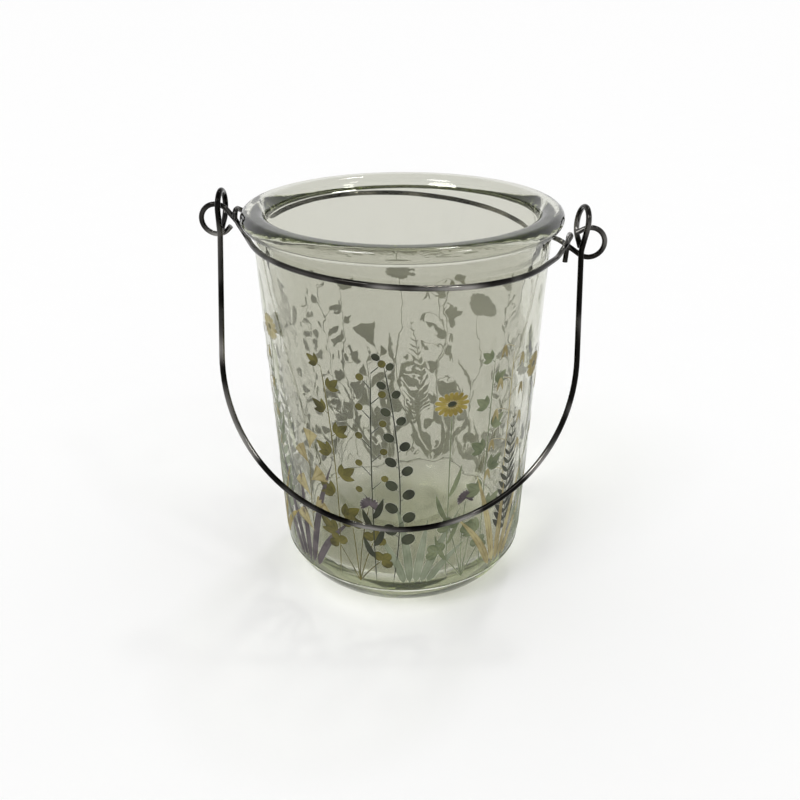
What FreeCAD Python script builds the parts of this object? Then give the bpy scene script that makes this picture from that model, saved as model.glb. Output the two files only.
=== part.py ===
import FreeCAD, Part
import math
import os
import Sketcher

# Glass tealight lantern: a tapered pressed-glass jar, two half-rings of neck wire that hook
# into each other under the rim, and a wire bail that swings in the eyes of the neck wire.
# Millimetres, +Z up. The origin is the middle of the foot, on the surface that it stands on.
# The bail hangs at the front, which faces -Y.

# Driving dimensions: name, value, what it measures
DIMENSIONS = [
    ("jar_height", 110.0, "foot to the top of the rim"),
    ("neck_diameter", 78.8, "outside of the wall just under the rim bead"),
    ("base_diameter", 72.0, "outside of the wall, carried straight down to the table"),
    ("wall_thickness", 4.0, "glass wall, square to its face"),
    ("rim_height", 4.4, "height of the rolled bead"),
    ("rim_ledge", 0.7, "flat under the bead, between the wall and the bead's round"),
    ("lip_radius", 3.0, "round from the top of the rim into the mouth"),
    ("floor_thickness", 9.0, "glass under the candle"),
    ("floor_corner_radius", 8.0, "round between the floor and the inside of the wall"),
    ("heel_radius", 14.5, "round between the foot and the outside of the wall"),
    ("foot_width", 3.2, "width of the ring that the jar stands on"),
    ("punt_depth", 1.2, "hollow in the middle of the underside"),
    ("neck_wire_diameter", 1.4, "wire of the two half-rings"),
    ("neck_wire_gap", 0.1, "half-rings to the glass"),
    ("neck_drop", 7.3, "top of the rim down to the middle of the eyes"),
    ("eye_rise", 1.8, "middle of the eyes above the half-rings"),
    ("neck_tilt", 3.2, "degrees that the neck wire sits askew, left side up"),
    ("rear_pitch", 4.0, "degrees that the rear half-ring rises towards the back"),
    ("neck_bend_radius", 1.8, "bend of the wire from the ring out to the eye"),
    ("rise_lead", 1.5, "straight wire between the ring and its rise to the eye"),
    ("rise_radius", 8.0, "bend where the wire starts to rise to the eye"),
    ("eye_diameter", 9.4, "outside of an eye"),
    ("eye_stand_off", 1.8, "middle of an eye beyond the bail's left loop"),
    ("left_neck_reach", 2.3, "bend of the left eye's neck beyond the rim bead"),
    ("hook_rim_gap", 1.5, "hook to the rim bead"),
    ("hook_gap", 0.15, "inside of a hook to the wire that it holds, and to the cut end of the eye"),
    ("hook_run", 8.5, "length of wire that climbs from the ring to a hook"),
    ("hook_run_bend", 10.0, "bend where the wire starts to climb to a hook"),
    ("right_hook_slack", 1.0, "spare height over the wire in the right hook"),
    ("left_hook_slack", 0.25, "spare height over the wire in the left hook"),
    ("right_hook_tail", 6.2, "cut end of the right hook below the middle of the eyes"),
    ("left_hook_tail", 0.2, "straight cut end of the left hook past its bend"),
    ("bail_wire_diameter", 1.5, "wire of the bail"),
    ("bail_drop", 83.2, "bail's hinge line to the middle of its bow"),
    ("bow_radius", 47.0, "round of the bow, to the middle of the wire"),
    ("bow_set", 0.9, "middle of the bow to the right of the jar's axis"),
    ("left_loop_gap", 5.05, "left loop of the bail to the rim bead"),
    ("right_loop_gap", 4.5, "right loop of the bail to the rim bead"),
    ("bail_rest_gap", 0.3, "bow to the glass that it leans on"),
    ("loop_diameter", 10.1, "outside of the loop at each end of the bail"),
    ("loop_neck", 3.0, "round of a loop down to the shoulder of its leg"),
    ("loop_twist", 10.0, "degrees that the right loop is twisted about its leg"),
    ("shoulder_radius", 3.0, "bend of the leg into its loop"),
    ("loop_end_gap", 0.3, "cut end of a loop to its own leg"),
    ("pin_gap", 0.4, "inside of the right loop to the eye wire in it"),
    ("eye_floor_gap", 0.74, "outside of the left loop to the lower wire of its eye"),
]

doc = FreeCAD.newDocument("tealight_lantern")
X_AXIS = FreeCAD.Vector(1, 0, 0)
Y_AXIS = FreeCAD.Vector(0, 1, 0)
Z_AXIS = FreeCAD.Vector(0, 0, 1)

# Arcs in each round stretch of wire, and the room left for the turn from the ring to an eye
RING_BENDS = 4
EYE_BENDS = 4
BOW_BENDS = 2
LOOP_BENDS = 5
NECK_BEND_TURN = math.radians(80)


# Sheet of sizes
def make_sheet():
    sheet = doc.addObject("Spreadsheet::Sheet", "dims")
    for row, (alias, value, meaning) in enumerate(DIMENSIONS, start=1):
        sheet.set(f"A{row}", alias)
        sheet.set(f"B{row}", str(value))
        sheet.setAlias(f"B{row}", alias)
        sheet.set(f"C{row}", meaning)
    doc.recompute()
    return sheet


dims = make_sheet()


def size(alias):
    return float(dims.get(alias))


# Sizes that several pieces share
neck_radius = size("neck_diameter") / 2
base_radius = size("base_diameter") / 2
shoulder_height = size("jar_height") - size("rim_height")
wall_slope = (neck_radius - base_radius) / shoulder_height
rim_radius = neck_radius + size("rim_ledge") + size("rim_height") / 2
neck_wire_radius = size("neck_wire_diameter") / 2
bail_wire_radius = size("bail_wire_diameter") / 2
neck_tilt = math.radians(size("neck_tilt"))
rear_pitch = math.radians(size("rear_pitch"))
eye_level = size("jar_height") - size("neck_drop")
left_loop_plane = rim_radius + size("left_loop_gap") + bail_wire_radius
right_loop_plane = rim_radius + size("right_loop_gap") + bail_wire_radius
eye_centre = left_loop_plane + size("eye_stand_off")
eye_radius = size("eye_diameter") / 2 - neck_wire_radius
loop_radius = size("loop_diameter") / 2 - bail_wire_radius


def wall_radius(height):
    return base_radius + wall_slope * height


# Glass jar: one profile turned about the Z axis
def make_jar():
    body = doc.addObject("PartDesign::Body", "glass_jar")
    body.Label = "glass_jar"
    sketch = body.newObject("Sketcher::SketchObject", "jar_profile")
    front_plane = [plane for plane in body.Origin.OriginFeatures if plane.Role == "XZ_Plane"][0]
    sketch.AttachmentSupport = (front_plane, "")
    sketch.MapMode = "FlatFace"
    draw_jar_profile(sketch)
    turned = body.newObject("PartDesign::Revolution", "jar_turned")
    turned.Profile = sketch
    turned.ReferenceAxis = (sketch, ["V_Axis"])
    turned.Angle = 360
    sketch.Visibility = False
    return body


def draw_jar_profile(sketch):
    # First guess of each corner, which the constraints then hold exactly
    heel = size("heel_radius")
    corner = size("floor_corner_radius")
    bead = size("rim_height") / 2
    lip = size("lip_radius")
    top = size("jar_height")
    floor = size("floor_thickness")
    bead_centre = rim_radius - bead
    heel_x = wall_radius(heel) - heel
    mouth = neck_radius - size("wall_thickness")
    inner_low = wall_radius(floor + corner) - size("wall_thickness")
    foot_x = heel_x - size("foot_width")
    half_pi = math.pi / 2

    def line(start, end):
        edge = Part.LineSegment(FreeCAD.Vector(*start, 0), FreeCAD.Vector(*end, 0))
        return sketch.addGeometry(edge, False)

    def arc(centre, radius, start, end):
        circle = Part.Circle(FreeCAD.Vector(*centre, 0), Z_AXIS, radius)
        return sketch.addGeometry(Part.ArcOfCircle(circle, start, end), False)

    punt = line((0, size("punt_depth")), (foot_x, 0))
    foot = line((foot_x, 0), (heel_x, 0))
    heel_arc = arc((heel_x, heel), heel, -half_pi, 0)
    wall = line((wall_radius(heel), heel), (neck_radius, shoulder_height))
    ledge = line((neck_radius, shoulder_height), (bead_centre, shoulder_height))
    bead_arc = arc((bead_centre, shoulder_height + bead), bead, -half_pi, half_pi)
    rim_top = line((bead_centre, top), (mouth + lip, top))
    lip_arc = arc((mouth + lip, top - lip), lip, half_pi, math.pi)
    inside = line((mouth, top - lip), (inner_low, floor + corner))
    corner_arc = arc((inner_low - corner, floor + corner), corner, -half_pi, 0)
    floor_line = line((inner_low - corner, floor), (0, floor))
    axis = line((0, floor), (0, size("punt_depth")))

    # Numbers of an edge's points, and of the sketch's own origin and axes
    first, last, middle = range(1, 4)
    origin = (-1, 1)
    horizontal_axis = -1
    vertical_axis = -2

    for before, after in ((punt, foot), (wall, ledge), (floor_line, axis), (axis, punt)):
        sketch.addConstraint(Sketcher.Constraint("Coincident", before, last, after, first))
    for before, after in ((foot, heel_arc), (heel_arc, wall), (ledge, bead_arc), (bead_arc, rim_top),
                          (rim_top, lip_arc), (lip_arc, inside)):
        sketch.addConstraint(Sketcher.Constraint("Tangent", before, last, after, first))
    sketch.addConstraint(Sketcher.Constraint("Tangent", inside, last, corner_arc, last))
    sketch.addConstraint(Sketcher.Constraint("Tangent", corner_arc, first, floor_line, first))
    for level in (foot, ledge, rim_top, floor_line):
        sketch.addConstraint(Sketcher.Constraint("Horizontal", level))
    sketch.addConstraint(Sketcher.Constraint("PointOnObject", foot, first, horizontal_axis))
    sketch.addConstraint(Sketcher.Constraint("PointOnObject", punt, first, vertical_axis))
    sketch.addConstraint(Sketcher.Constraint("PointOnObject", floor_line, last, vertical_axis))
    sketch.addConstraint(Sketcher.Constraint("Parallel", wall, inside))

    def bind(name, constraint, expression):
        index = sketch.addConstraint(constraint)
        sketch.renameConstraint(index, name)
        sketch.setExpression(f"Constraints.{name}", expression)

    def radius(name, edge, value, expression):
        bind(name, Sketcher.Constraint("Radius", edge, value), expression)

    def offset(name, direction, edge, point, value, expression):
        bind(name, Sketcher.Constraint(direction, *origin, edge, point, value), expression)

    radius("heel", heel_arc, heel, "dims.heel_radius")
    radius("bead", bead_arc, bead, "dims.rim_height / 2")
    radius("lip", lip_arc, lip, "dims.lip_radius")
    radius("corner", corner_arc, corner, "dims.floor_corner_radius")
    offset("punt_depth", "DistanceY", punt, first, size("punt_depth"), "dims.punt_depth")
    offset("floor", "DistanceY", floor_line, last, floor, "dims.floor_thickness")
    offset("neck", "DistanceX", wall, last, neck_radius, "dims.neck_diameter / 2")
    offset("shoulder", "DistanceY", wall, last, shoulder_height, "dims.jar_height - dims.rim_height")
    offset("bead_centre", "DistanceX", bead_arc, middle, bead_centre,
           "dims.neck_diameter / 2 + dims.rim_ledge")
    bind("foot_width",
         Sketcher.Constraint("DistanceX", foot, first, foot, last, size("foot_width")),
         "dims.foot_width")
    bind("thickness",
         Sketcher.Constraint("Distance", inside, first, wall, size("wall_thickness")),
         "dims.wall_thickness")
    bind("wall_angle",
         Sketcher.Constraint("Angle", wall, half_pi - math.atan(wall_slope)),
         "90 deg - atan((dims.neck_diameter - dims.base_diameter) / 2"
         " / (dims.jar_height - dims.rim_height))")


# Bent wire: straight runs joined by tangent arcs, one bend radius for each corner
def bent_wire(points, radii):
    edges = []
    here = points[0]
    for corner, following, radius in zip(points[1:-1], points[2:], radii):
        into = (corner - here).normalize()
        out = (following - corner).normalize()
        turn = into.getAngle(out)
        reach = radius * math.tan(turn / 2)
        start = corner - into * reach
        end = corner + out * reach
        inward = (out - into).normalize()
        middle = corner + inward * (radius / math.cos(turn / 2) - radius)
        add_run(edges, here, start)
        edges.append(Part.Arc(start, middle, end).toShape())
        here = end
    add_run(edges, here, points[-1])
    return Part.Wire(edges)


def add_run(edges, start, end):
    shortest_run = 1e-5
    if (end - start).Length > shortest_run:
        edges.append(Part.LineSegment(start, end).toShape())


# Corners of a many-sided path whose bends together make one round stretch
def round_corners(centre, across, up, radius, start, sweep, bends):
    step = sweep / bends
    reach = radius / math.cos(step / 2)
    angles = [start + step * (index + 0.5) for index in range(bends)]
    return [centre + across * (reach * math.cos(angle)) + up * (reach * math.sin(angle)) for angle in angles]


# A round wire along a path, as a sub-part of its own
def make_wire_part(label, points, radii, diameter_alias):
    path = doc.addObject("Part::Feature", f"{label}_path")
    path.Shape = bent_wire(points, radii)
    section = doc.addObject("Part::Circle", f"{label}_section")
    section.setExpression("Radius", f"dims.{diameter_alias} / 2")
    section.Placement = FreeCAD.Placement(points[0], FreeCAD.Rotation(Z_AXIS, points[1] - points[0]))
    wire = doc.addObject("Part::Sweep", label)
    wire.Label = label
    wire.Sections = [section]
    wire.Spine = (path, [f"Edge{index + 1}" for index in range(len(path.Shape.Edges))])
    wire.Solid = True
    wire.Frenet = False
    return wire


# Neck wire: a half-ring with an eye at one end and a hook at the other
def ring_radius(pitch):
    ring_level = eye_level - size("eye_rise")
    highest = ring_level + neck_radius * (math.sin(neck_tilt) + math.sin(pitch))
    slant = math.cos(neck_tilt) * math.cos(pitch)
    skew = size("eye_rise") * math.sin(neck_tilt)
    return wall_radius(highest) / slant + skew + size("neck_wire_gap") + neck_wire_radius


hook_plane = rim_radius + size("hook_rim_gap") + neck_wire_radius
hook_half_width = 2 * neck_wire_radius + size("hook_gap")
left_corner = rim_radius + size("left_neck_reach")
right_corner = hook_plane - neck_wire_radius - size("neck_bend_radius") * math.tan(NECK_BEND_TURN / 2)


# Angle at which the neck of an eye opens, from its corner out to both sides of the eye
def stem_angle(neck_corner):
    return math.asin(eye_radius / (eye_centre - neck_corner))


# Top of a hook, to the middle of its wire, over the stem that it holds
def hook_top(held_corner, held_over, slack):
    angle = stem_angle(held_corner)
    stem_height = held_over * (hook_plane - held_corner) * math.tan(angle)
    half_height = neck_wire_radius * (1 / math.cos(angle) + math.tan(angle))
    return stem_height + half_height + slack + neck_wire_radius


# Front half-ring in the frame of the neck wire: X through both eyes, the eyes at height 0.
# Its hook is on the right and its eye on the left. The stem of the eye goes over the top
# of the eye first or under it. The ring rises by its pitch, away from the line of the eyes.
def half_ring(stem_over, neck_corner, top, tail_end, pitch):
    ring = ring_radius(pitch)
    ring_across = FreeCAD.Vector(0, math.cos(pitch), -math.sin(pitch))
    ring_height = -size("eye_rise")
    ring_middle = FreeCAD.Vector(0, 0, ring_height)
    hook_leaves = -math.atan2(hook_half_width, hook_plane)
    hook_leaves -= math.acos(ring / math.hypot(hook_plane, hook_half_width))
    eye_leaves = math.acos(ring / neck_corner) - math.pi
    ring_corners = round_corners(ring_middle, X_AXIS, ring_across, ring, hook_leaves,
                                 eye_leaves - hook_leaves, RING_BENDS)

    # Hook: up in front of the other half's wire, over it, and down behind to a cut end
    heading = ring_across * math.cos(hook_leaves) - X_AXIS * math.sin(hook_leaves)
    under_hook = ring_middle + X_AXIS * hook_plane - ring_across * hook_half_width
    hook_foot = under_hook - heading * size("hook_run")
    hook_front = FreeCAD.Vector(hook_plane, -hook_half_width, top)
    hook_back = FreeCAD.Vector(hook_plane, hook_half_width, top)
    hook_end = FreeCAD.Vector(hook_plane, hook_half_width, tail_end)

    # Eye: straight off the ring, out from the glass, round in the XZ plane, and back to the hook
    leaving = ring_middle + (X_AXIS * math.cos(eye_leaves) + ring_across * math.sin(eye_leaves)) * ring
    along = X_AXIS * math.sin(eye_leaves) - ring_across * math.cos(eye_leaves)
    rise_start = leaving + along * size("rise_lead")
    corner = FreeCAD.Vector(-neck_corner, 0, 0)
    middle = FreeCAD.Vector(-eye_centre, 0, 0)
    outward = FreeCAD.Vector(-1, 0, 0)
    first_side = Z_AXIS * stem_over
    angle = stem_angle(neck_corner)
    tangent = math.pi / 2 + angle
    eye_corners = round_corners(middle, outward, first_side, eye_radius, tangent, -2 * tangent, EYE_BENDS)
    end_plane = hook_plane + 2 * neck_wire_radius + size("hook_gap")
    back_along = outward * math.cos(angle) - first_side * math.sin(angle)
    eye_end = corner + back_along * ((end_plane - neck_corner) / math.cos(angle))

    points = [hook_end, hook_back, hook_front, hook_foot] + ring_corners
    points += [rise_start, corner] + eye_corners + [eye_end]
    radii = [hook_half_width, hook_half_width, size("hook_run_bend")] + [ring] * RING_BENDS
    radii += [size("rise_radius"), size("neck_bend_radius")] + [eye_radius] * EYE_BENDS
    return points, radii


# The front half holds the right eye's stem, which goes under its eye, in a hook with a long tail
def front_half():
    top = hook_top(right_corner, -1, size("hook_gap") + size("right_hook_slack"))
    return half_ring(1, left_corner, top, -size("right_hook_tail"), 0)


# The rear half is turned half round, and holds the left eye's stem, which goes over its eye
def rear_half():
    top = hook_top(left_corner, 1, size("hook_gap") + size("left_hook_slack"))
    tail_end = top - hook_half_width - size("left_hook_tail")
    points, radii = half_ring(-1, right_corner, top, tail_end, rear_pitch)
    return turned_about(points), radii


def turned_about(points):
    return [FreeCAD.Vector(-point.x, -point.y, point.z) for point in points]


def place_on_neck(wire):
    wire.setExpression("Placement.Base.z", "dims.jar_height - dims.neck_drop")
    wire.setExpression("Placement.Rotation.Axis.x", "0")
    wire.setExpression("Placement.Rotation.Axis.y", "1")
    wire.setExpression("Placement.Rotation.Axis.z", "0")
    wire.setExpression("Placement.Rotation.Angle", "dims.neck_tilt")


# Bail: a bow and two straight legs, each ending in a loop about the hinge line, drawn in to
# its leg like a drop. One side runs from the middle of the bow out to the cut end of its loop.
def bail_side(side, loop_plane, twist):
    bow = size("bow_radius")
    shoulder = loop_radius + size("loop_neck")
    bow_middle = FreeCAD.Vector(side * size("bow_set"), 0, bow - size("bail_drop"))
    leg_top = FreeCAD.Vector(loop_plane, 0, -shoulder)
    towards = leg_top - bow_middle
    bow_end = math.atan2(towards.z, towards.x) - math.acos(bow / towards.Length)
    bow_start = -math.pi / 2
    bow_corners = round_corners(bow_middle, X_AXIS, Z_AXIS, bow, bow_start, bow_end - bow_start, BOW_BENDS)

    loop_middle = FreeCAD.Vector(loop_plane, 0, 0)
    across = FreeCAD.Vector(-math.sin(twist), math.cos(twist), 0)
    half_opening = math.acos(loop_radius / shoulder)
    loop_start = bow_start - half_opening
    loop_sweep = 2 * half_opening - 2 * math.pi
    loop_corners = round_corners(loop_middle, across, Z_AXIS, loop_radius, loop_start, loop_sweep, LOOP_BENDS)
    stop = loop_start + loop_sweep
    tail_start = loop_middle + (across * math.cos(stop) + Z_AXIS * math.sin(stop)) * loop_radius
    tail_gap = (2 * bail_wire_radius + size("loop_end_gap")) / math.sin(2 * half_opening)
    loop_end = leg_top + (tail_start - leg_top).normalize() * tail_gap

    points = bow_corners + [leg_top] + loop_corners + [loop_end]
    radii = [bow] * BOW_BENDS + [size("shoulder_radius")] + [loop_radius] * LOOP_BENDS
    return [FreeCAD.Vector(side * point.x, point.y, point.z) for point in points], radii


def bail_path():
    right, right_radii = bail_side(1, right_loop_plane, math.radians(size("loop_twist")))
    left, left_radii = bail_side(-1, left_loop_plane, 0)
    return left[::-1] + right, left_radii[::-1] + right_radii


# Eye wire in a loop: its height over the middle of the eye, and half its height in the loop
def pin_in_loop(loop_plane):
    stand_off = eye_centre - loop_plane
    slope = math.asin(stand_off / eye_radius)
    pin_height = math.sqrt(eye_radius ** 2 - stand_off ** 2)
    pin_half = neck_wire_radius / math.cos(slope) + bail_wire_radius * math.tan(slope)
    return pin_height, pin_half


# Hinge line of the bail: through the middle of both loops, set by the eye wires inside them
def hinge_line():
    left_height, left_half = pin_in_loop(left_loop_plane)
    right_height, right_half = pin_in_loop(right_loop_plane)
    left_drop = 2 * left_height - loop_radius - bail_wire_radius - left_half - size("eye_floor_gap")
    right_lift = loop_radius - bail_wire_radius - right_half - size("pin_gap")
    rise = math.sin(neck_tilt)
    left_loop = eye_level + left_height * math.cos(neck_tilt) + left_loop_plane * rise - left_drop
    right_loop = eye_level + right_height * math.cos(neck_tilt) - right_loop_plane * rise + right_lift
    span = left_loop_plane + right_loop_plane
    tilt = math.asin((left_loop - right_loop) / span)
    height = right_loop + right_loop_plane * math.sin(tilt)
    return height, tilt


# Angle from straight down at which the bow comes to lie on the front of the glass
def rest_angle(height):
    reach = size("bail_drop") * math.hypot(1, wall_slope)
    stand = wall_radius(height) + (bail_wire_radius + size("bail_rest_gap")) * math.hypot(1, wall_slope)
    return math.asin(stand / reach) - math.atan(wall_slope)


def place_bail(wire):
    height, tilt = hinge_line()
    lean_forward = FreeCAD.Rotation(X_AXIS, -math.degrees(rest_angle(height)))
    askew = FreeCAD.Rotation(Y_AXIS, math.degrees(tilt))
    wire.Placement = FreeCAD.Placement(FreeCAD.Vector(0, 0, height), askew * lean_forward)


jar = make_jar()
front_wire = make_wire_part("neck_wire_front", *front_half(), "neck_wire_diameter")
rear_wire = make_wire_part("neck_wire_rear", *rear_half(), "neck_wire_diameter")
bail = make_wire_part("bail_handle", *bail_path(), "bail_wire_diameter")
place_on_neck(front_wire)
place_on_neck(rear_wire)
place_bail(bail)
doc.recompute()


# Checks before anything is written
def check_document():
    for item in doc.Objects:
        if "Invalid" in item.State or "Error" in item.State:
            raise RuntimeError(f"{item.Label}: {item.State}")


def check_part(part):
    shape = part.Shape
    if shape.isNull() or not shape.isValid() or len(shape.Solids) != 1:
        raise RuntimeError(f"{part.Label}: not one valid solid")
    print(f"{part.Label}: volume {shape.Volume:.2f} mm3, box {shape.BoundBox}")


def check_wire(wire, radius):
    length = wire.Spine[0].Shape.Length
    expected = math.pi * radius ** 2 * length
    if abs(wire.Shape.Volume / expected - 1) > 0.005:
        raise RuntimeError(f"{wire.Label}: volume {wire.Shape.Volume:.2f}, expected {expected:.2f}")
    print(f"{wire.Label}: wire {length:.1f} mm long")


check_document()
sub_parts = [jar, front_wire, rear_wire, bail]
for sub_part in sub_parts:
    check_part(sub_part)
check_wire(front_wire, neck_wire_radius)
check_wire(rear_wire, neck_wire_radius)
check_wire(bail, bail_wire_radius)

hinge_height, hinge_tilt = hinge_line()
print(f"hinge height {hinge_height:.3f} mm, tilt {math.degrees(hinge_tilt):.3f} degrees")
print(f"bail rests {math.degrees(rest_angle(hinge_height)):.3f} degrees from straight down")

os.makedirs("parts", exist_ok=True)
for sub_part in sub_parts:
    sub_part.Shape.exportStep(f"parts/{sub_part.Label}.step")
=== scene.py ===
import logging
import math
from collections.abc import Callable
from dataclasses import dataclass, field, replace
from enum import Enum

import bpy
import numpy as np
from mathutils import Matrix, Vector


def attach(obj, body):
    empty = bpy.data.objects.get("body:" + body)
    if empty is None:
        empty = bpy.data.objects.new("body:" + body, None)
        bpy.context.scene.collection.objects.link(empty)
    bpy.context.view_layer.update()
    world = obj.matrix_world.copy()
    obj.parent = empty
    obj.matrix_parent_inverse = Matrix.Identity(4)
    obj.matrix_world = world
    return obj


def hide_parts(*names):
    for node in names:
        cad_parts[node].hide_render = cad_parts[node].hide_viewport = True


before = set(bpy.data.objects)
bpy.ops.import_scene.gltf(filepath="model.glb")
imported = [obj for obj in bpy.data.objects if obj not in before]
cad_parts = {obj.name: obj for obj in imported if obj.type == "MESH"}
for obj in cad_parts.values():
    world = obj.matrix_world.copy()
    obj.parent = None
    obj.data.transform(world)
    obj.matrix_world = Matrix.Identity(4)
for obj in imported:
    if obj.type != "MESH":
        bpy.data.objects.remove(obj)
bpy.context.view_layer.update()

# Glass tealight lantern: a pressed-glass jar greyed all over by painted shade, with a printed meadow round
# its wall, two half-rings of neck wire and a wire bail. Metres, in the frame of the solids.

MM = 0.001
QUARTER = math.pi / 2
log = logging.getLogger("lantern")

Colour = tuple[float, float, float]
Pair = tuple[float, float]
Patches = np.ndarray
Places = tuple[np.ndarray, np.ndarray, np.ndarray]
Material = bpy.types.Material
Object = bpy.types.Object
Tree = bpy.types.NodeTree
Node = bpy.types.Node
Socket = bpy.types.NodeSocket

# Colours

SCREEN_WHITE = 255
SCREEN_KNEE = 0.04045
SCREEN_SLOPE = 12.92
SCREEN_LIFT = 0.055
SCREEN_POWER = 2.4


def linear(red: int, green: int, blue: int) -> Colour:
    """Linear light of a colour given as it shows on screen, 0 to 255.

    Args:
        red: red as shown.
        green: green as shown.
        blue: blue as shown.
    Returns:
        The three linear values, 0 to 1.
    """
    shown = np.array([red, green, blue]) / SCREEN_WHITE
    curve = ((shown + SCREEN_LIFT) / (1 + SCREEN_LIFT)) ** SCREEN_POWER
    light = np.where(shown <= SCREEN_KNEE, shown / SCREEN_SLOPE, curve)
    return tuple(light.tolist())


def opaque(colour: Colour) -> tuple[float, float, float, float]:
    """The colour with an alpha of one, as colour sockets take it."""
    return (*colour, 1.0)


def grey(level: float) -> tuple[float, float, float, float]:
    """An even grey, as colour sockets take it."""
    return opaque((level, level, level))


# Meshes

def make_object(name: str, vertices: np.ndarray, faces: list, material: Material) -> Object:
    """A smooth-shaded mesh object at the origin.

    Args:
        name: name of the piece.
        vertices: points in metres, one row each.
        faces: corner numbers of each face.
        material: its finish.
    Returns:
        The new object, linked to the scene.
    """
    mesh = bpy.data.meshes.new(name)
    mesh.from_pydata(vertices, [], faces)
    mesh.shade_smooth()
    mesh.materials.append(material)
    piece = bpy.data.objects.new(name, mesh)
    bpy.context.scene.collection.objects.link(piece)
    return piece


def arc(centre: Pair, radius: float, start: float, end: float, count: int) -> np.ndarray:
    """Points on a round: the centre plus the radius times cosine and sine of evenly spaced angles.

    Args:
        centre: distance from the axis, and height.
        radius: of the round.
        start: first angle in radians.
        end: last angle in radians.
        count: how many points.
    Returns:
        One row of distance and height for each point.
    """
    angles = np.linspace(start, end, count)
    return np.array(centre) + radius * np.stack([np.cos(angles), np.sin(angles)], axis=1)


def run(start: Pair, end: Pair, count: int) -> np.ndarray:
    """Evenly spaced points inside a straight run, without its two ends."""
    share = np.linspace(0, 1, count + 2)[1:-1, None]
    return np.array(start) * (1 - share) + np.array(end) * share


def full_turn(count: int) -> np.ndarray:
    """Evenly spaced angles once round, in radians."""
    return np.linspace(0, 2 * np.pi, count, endpoint=False)


def turned(distance: np.ndarray, height: np.ndarray, angle: np.ndarray) -> np.ndarray:
    """Points round the Z axis: distance times cosine and sine of the angle, and height."""
    return np.stack([distance * np.cos(angle), distance * np.sin(angle), height + 0 * angle], axis=-1)


def ring_faces(count: int, sectors: int) -> np.ndarray:
    """Faces between neighbouring rings: two points of one ring and the two beside them on the next.

    Args:
        count: how many rings.
        sectors: points on each ring.
    Returns:
        Four point numbers for each face.
    """
    number = np.arange(count * sectors).reshape(count, sectors)
    following = np.roll(number, -1, axis=1)
    corners = (number[:-1], following[:-1], following[1:], number[1:])
    return np.stack(corners, axis=-1).reshape(-1, 4)


def lathe(rows: np.ndarray, bottom: float, top: float) -> tuple[np.ndarray, list]:
    """Closes a grid of rings, turned about the Z axis, with a pole at each end.

    Args:
        rows: points of the rings, first index along the profile, second round the axis.
        bottom: height of the pole under the first ring.
        top: height of the pole of the last ring.
    Returns:
        The vertices and the faces, which point away from the glass.
    """
    count, sectors = rows.shape[:2]
    vertices = np.concatenate([rows.reshape(-1, 3), [[0, 0, bottom], [0, 0, top]]])
    ring = np.arange(sectors)
    following = np.roll(ring, -1)
    last = (count - 1) * sectors
    pole = np.full(sectors, count * sectors)
    lower = np.stack([pole, following, ring], axis=1)
    upper = np.stack([last + ring, last + following, pole + 1], axis=1)
    return vertices, ring_faces(count, sectors).tolist() + lower.tolist() + upper.tolist()


# Nodes

class Nodes:
    """A node tree with short calls for adding and joining nodes."""

    def __init__(self, tree: Tree) -> None:
        """Holds the tree that nodes are added to."""
        self.tree = tree

    def feed(self, node: Node, links: dict) -> None:
        """Joins outputs to a node's inputs, or sets their plain values.

        Args:
            node: the node that is fed.
            links: for each input, by name or number, an output socket or a plain value.
        """
        for name, value in links.items():
            self.put(node.inputs[name], value)

    def put(self, socket: Socket, value: object) -> None:
        """Joins an output to one input, or sets the input's plain value.

        Args:
            socket: the input.
            value: an output socket, or a number or colour.
        """
        if isinstance(value, Socket):
            self.tree.links.new(value, socket)
        else:
            socket.default_value = value

    def add(self, kind: str, links: dict | None = None, **settings: object) -> Node:
        """Adds a node.

        Args:
            kind: Blender's name of the node type.
            links: for each input, by name or number, an output socket or a plain value.
            settings: the node's own properties.
        Returns:
            The node.
        """
        node = self.tree.nodes.new(kind)
        for name, value in settings.items():
            setattr(node, name, value)
        self.feed(node, links or {})
        return node

    def math(self, operation: str, first: object, second: object = 0.0) -> Socket:
        """The output of one sum on two sockets or numbers."""
        return self.add("ShaderNodeMath", {0: first, 1: second}, operation=operation).outputs[0]

    def ramp(self, value: object, low: float, high: float, start: float = 0.0, end: float = 1.0) -> Socket:
        """A value carried smoothly from one span to another.

        Args:
            value: socket that is read.
            low: result where the value is at the start.
            high: result where the value is at the end.
            start: start of the span that is read.
            end: end of the span that is read.
        Returns:
            The carried value.
        """
        spans = {"Value": value, "From Min": start, "From Max": end, "To Min": low, "To Max": high}
        return self.add("ShaderNodeMapRange", spans, interpolation_type="SMOOTHSTEP").outputs[0]

    def noise(self, scale: float, detail: float = 2.0) -> Socket:
        """Cloudy noise on Object coordinates, about one cloud in each 1 / scale metres.

        Args:
            scale: clouds in a metre.
            detail: how many finer layers are added.
        Returns:
            The noise, 0 to 1.
        """
        place = self.add("ShaderNodeTexCoord").outputs["Object"]
        clouds = {"Vector": place, "Scale": scale, "Detail": detail}
        return self.add("ShaderNodeTexNoise", clouds).outputs["Fac"]

    def mix(self, share: object, first: object, second: object) -> Socket:
        """The colour between two colours.

        Args:
            share: how far it is towards the second colour, 0 to 1.
            first: colour at 0.
            second: colour at 1.
        Returns:
            The mixed colour.
        """
        node = self.add("ShaderNodeMix", data_type="RGBA")
        sockets = {socket.identifier: socket for socket in node.inputs}
        for identifier, value in {"Factor_Float": share, "A_Color": first, "B_Color": second}.items():
            self.put(sockets[identifier], value)
        return next(socket for socket in node.outputs if socket.identifier == "Result_Color")


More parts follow.
